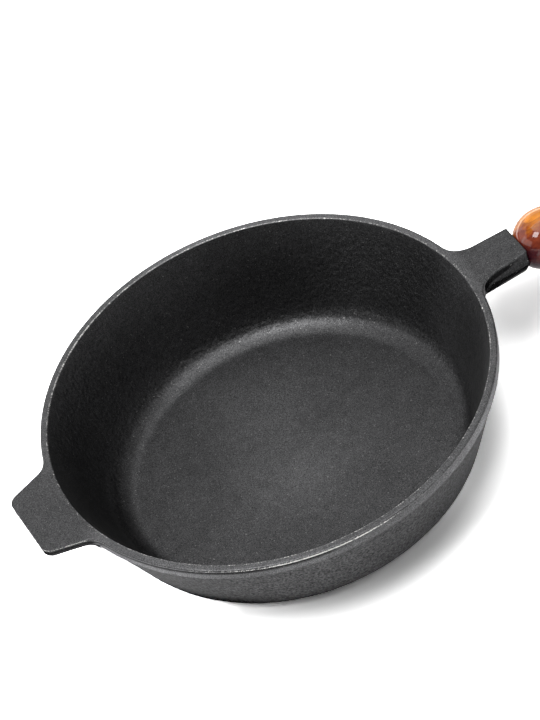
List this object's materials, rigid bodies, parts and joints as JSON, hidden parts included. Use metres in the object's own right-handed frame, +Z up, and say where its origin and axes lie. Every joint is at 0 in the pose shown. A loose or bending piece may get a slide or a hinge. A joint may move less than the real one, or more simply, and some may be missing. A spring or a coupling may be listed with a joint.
{
  "type": "deep cast iron pan",
  "caption": "Deep cast iron pan with a flat helper tab, a handle boss, a turned wooden grip on a steel tie rod and a swinging hanging ring.",
  "frame": {"origin": "centre of the flat base, on the surface that the pan stands on", "axes": "+X along the handle, away from the bowl; +Z up, out of the bowl's mouth; +Y completes a right-handed frame"},
  "size_m": [0.4639, 0.24, 0.0667],
  "materials": {
    "seasoned_iron": "fine sand-cast grain under a dark seasoned film",
    "rod_steel": "plain drawn steel with rolled threads",
    "lacquered_wood": "red-brown turned wood under clear gloss lacquer",
    "cap_steel": "pressed and polished steel",
    "nut_steel": "turned and tumbled steel",
    "ring_steel": "bright drawn wire, butt-welded"
  },
  "bodies": {
    "pan": {"pan_casting": "seasoned_iron", "tie_rod": "rod_steel", "wooden_grip": "lacquered_wood", "end_cap": "cap_steel", "eye_nut": "nut_steel"},
    "ring": {"hanging_ring": "ring_steel"}
  },
  "joints": [
    {"name": "ring_swing", "type": "hinge", "parent": "pan", "child": "ring", "pos_m": [0.3157, 0, 0.0507], "axis": [0, -1, 0], "range_deg": [-66, 246]}
  ]
}
